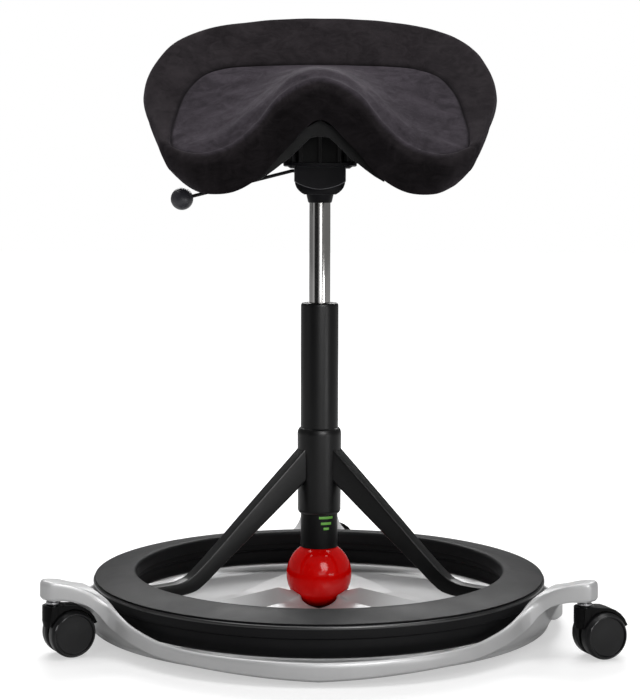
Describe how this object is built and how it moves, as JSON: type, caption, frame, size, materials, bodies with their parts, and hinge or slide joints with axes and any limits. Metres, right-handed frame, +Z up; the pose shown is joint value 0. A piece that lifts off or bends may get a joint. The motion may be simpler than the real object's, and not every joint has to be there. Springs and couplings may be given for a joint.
{
  "type": "wobble stool",
  "caption": "Saddle seat on a gas column whose foot stands on a ball in a dished base with castors; a turning foot ring sets the wobble.",
  "frame": {"origin": "centre of the base's flat underside, on the column's axis; the castor wheels stand 4 mm lower", "axes": "+Z up along the column, -Y the seat's front, +X to the right in a view of the front"},
  "size_m": [0.7238, 0.7414, 0.8164],
  "materials": {
    "base_metal": "satin silver coat on a casting",
    "frame_coat": "black powder coat",
    "black_plastic": "fine moulded grain",
    "ring_plastic": "matt, slightly worn",
    "red_plastic": "polished",
    "chrome": "polished",
    "steel": "turned and zinc plated",
    "acetal": "natural, unpigmented",
    "rubber": "matt",
    "suede": "short suede nap"
  },
  "bodies": {
    "base": {"base_dish": "base_metal", "ball_cup": "black_plastic", "caster_stem_front_left": "steel", "caster_stem_front_right": "steel", "caster_stem_rear": "steel"},
    "ball": {"ball": "red_plastic"},
    "spindle": {"spindle": "steel", "scale_sleeve": "black_plastic"},
    "detent_ring": {"detent_ring": "steel"},
    "frame": {"hub": "frame_coat", "threaded_bush": "acetal", "foot_ring_cover": "ring_plastic", "foot_ring_channel": "ring_plastic", "gas_tube": "frame_coat", "guide_bush": "acetal", "thrust_washer": "steel", "thrust_bearing": "acetal", "leg_front_left": "frame_coat", "leg_front_right": "frame_coat", "leg_rear": "frame_coat", "leg_screw_front_left": "steel", "leg_screw_front_right": "steel", "leg_screw_rear": "steel"},
    "gas_rod": {"piston_rod": "steel", "piston": "steel", "bearing_washer": "steel", "retaining_clip": "steel", "bump_stop": "rubber"},
    "seat": {"gas_cylinder": "chrome", "rod_gland": "black_plastic", "seat_bracket": "frame_coat", "bracket_cover": "black_plastic", "lever_pin": "steel", "seat_shell": "black_plastic", "seat_bolt_1": "frame_coat", "seat_bolt_2": "frame_coat", "seat_bolt_3": "frame_coat", "seat_bolt_4": "frame_coat", "seat_cushion": "suede"},
    "lever": {"height_lever": "steel", "lever_knob": "black_plastic"},
    "valve": {"valve_pin": "steel"},
    "caster_front_left": {"caster_body_front_left": "black_plastic", "caster_axle_front_left": "steel"},
    "caster_wheel_front_left_a": {"caster_wheel_front_left_a": "ring_plastic"},
    "caster_wheel_front_left_b": {"caster_wheel_front_left_b": "ring_plastic"},
    "caster_front_right": {"caster_body_front_right": "black_plastic", "caster_axle_front_right": "steel"},
    "caster_wheel_front_right_a": {"caster_wheel_front_right_a": "ring_plastic"},
    "caster_wheel_front_right_b": {"caster_wheel_front_right_b": "ring_plastic"},
    "caster_rear": {"caster_body_rear": "black_plastic", "caster_axle_rear": "steel"},
    "caster_wheel_rear_a": {"caster_wheel_rear_a": "ring_plastic"},
    "caster_wheel_rear_b": {"caster_wheel_rear_b": "ring_plastic"}
  },
  "joints": [
    {"name": "wobble_side", "type": "hinge", "parent": "base", "child": "ball", "pos_m": [0, 0, 0.0587], "axis": [0, 1, 0], "range_deg": [-1.8, 1.8]},
    {"name": "wobble_fore_aft", "type": "hinge", "parent": "ball", "child": "spindle", "pos_m": [0, 0, 0.0587], "axis": [1, 0, 0], "range_deg": [-1.8, 1.8]},
    {"name": "frame_raise", "type": "slide", "parent": "spindle", "child": "detent_ring", "axis": [0, 0, 1], "range_m": [0, 0.0101]},
    {"name": "frame_turn", "type": "hinge", "parent": "detent_ring", "child": "frame", "pos_m": [0, 0, 0.136], "axis": [0, 0, 1], "range_deg": [0, 360]},
    {"name": "seat_swivel", "type": "hinge", "parent": "frame", "child": "gas_rod", "pos_m": [0, 0, 0.176], "axis": [0, 0, 1], "continuous": true},
    {"name": "seat_height", "type": "slide", "parent": "gas_rod", "child": "seat", "axis": [0, 0, 1], "range_m": [-0.118, 0.075]},
    {"name": "lever_lift", "type": "hinge", "parent": "seat", "child": "lever", "pos_m": [-0.02, 0, 0.5955], "axis": [0, 1, 0], "range_deg": [0, 6], "stiffness_Nm_per_rad": 1.5},
    {"name": "valve_press", "type": "slide", "parent": "seat", "child": "valve", "axis": [0, 0, 1], "range_m": [-0.0022, 0]},
    {"name": "caster_swivel_front_left", "type": "hinge", "parent": "base", "child": "caster_front_left", "pos_m": [-0.32649, -0.1885, 0.056], "axis": [0, 0, 1], "continuous": true},
    {"name": "wheel_spin_front_left_a", "type": "hinge", "parent": "caster_front_left", "child": "caster_wheel_front_left_a", "pos_m": [-0.30839, -0.17888, 0.0246], "axis": [-0.4695, 0.8829, 0], "continuous": true},
    {"name": "wheel_spin_front_left_b", "type": "hinge", "parent": "caster_front_left", "child": "caster_wheel_front_left_b", "pos_m": [-0.30839, -0.17888, 0.0246], "axis": [-0.4695, 0.8829, 0], "continuous": true},
    {"name": "caster_swivel_front_right", "type": "hinge", "parent": "base", "child": "caster_front_right", "pos_m": [0.32649, -0.1885, 0.056], "axis": [0, 0, 1], "continuous": true},
    {"name": "wheel_spin_front_right_a", "type": "hinge", "parent": "caster_front_right", "child": "caster_wheel_front_right_a", "pos_m": [0.34575, -0.18149, 0.0246], "axis": [-0.342, 0.9397, 0], "continuous": true},
    {"name": "wheel_spin_front_right_b", "type": "hinge", "parent": "caster_front_right", "child": "caster_wheel_front_right_b", "pos_m": [0.34575, -0.18149, 0.0246], "axis": [-0.342, 0.9397, 0], "continuous": true},
    {"name": "caster_swivel_rear", "type": "hinge", "parent": "base", "child": "caster_rear", "pos_m": [0, 0.377, 0.056], "axis": [0, 0, 1], "continuous": true},
    {"name": "wheel_spin_rear_a", "type": "hinge", "parent": "caster_rear", "child": "caster_wheel_rear_a", "pos_m": [0.01873, 0.38534, 0.0246], "axis": [-0.4067, 0.9135, 0], "continuous": true},
    {"name": "wheel_spin_rear_b", "type": "hinge", "parent": "caster_rear", "child": "caster_wheel_rear_b", "pos_m": [0.01873, 0.38534, 0.0246], "axis": [-0.4067, 0.9135, 0], "continuous": true}
  ],
  "couplings": [
    {"joint": "frame_raise", "follows": "frame_turn", "m_per_rad": 0.0015915},
    {"joint": "valve_press", "follows": "lever_lift", "m_per_rad": -0.02}
  ]
}
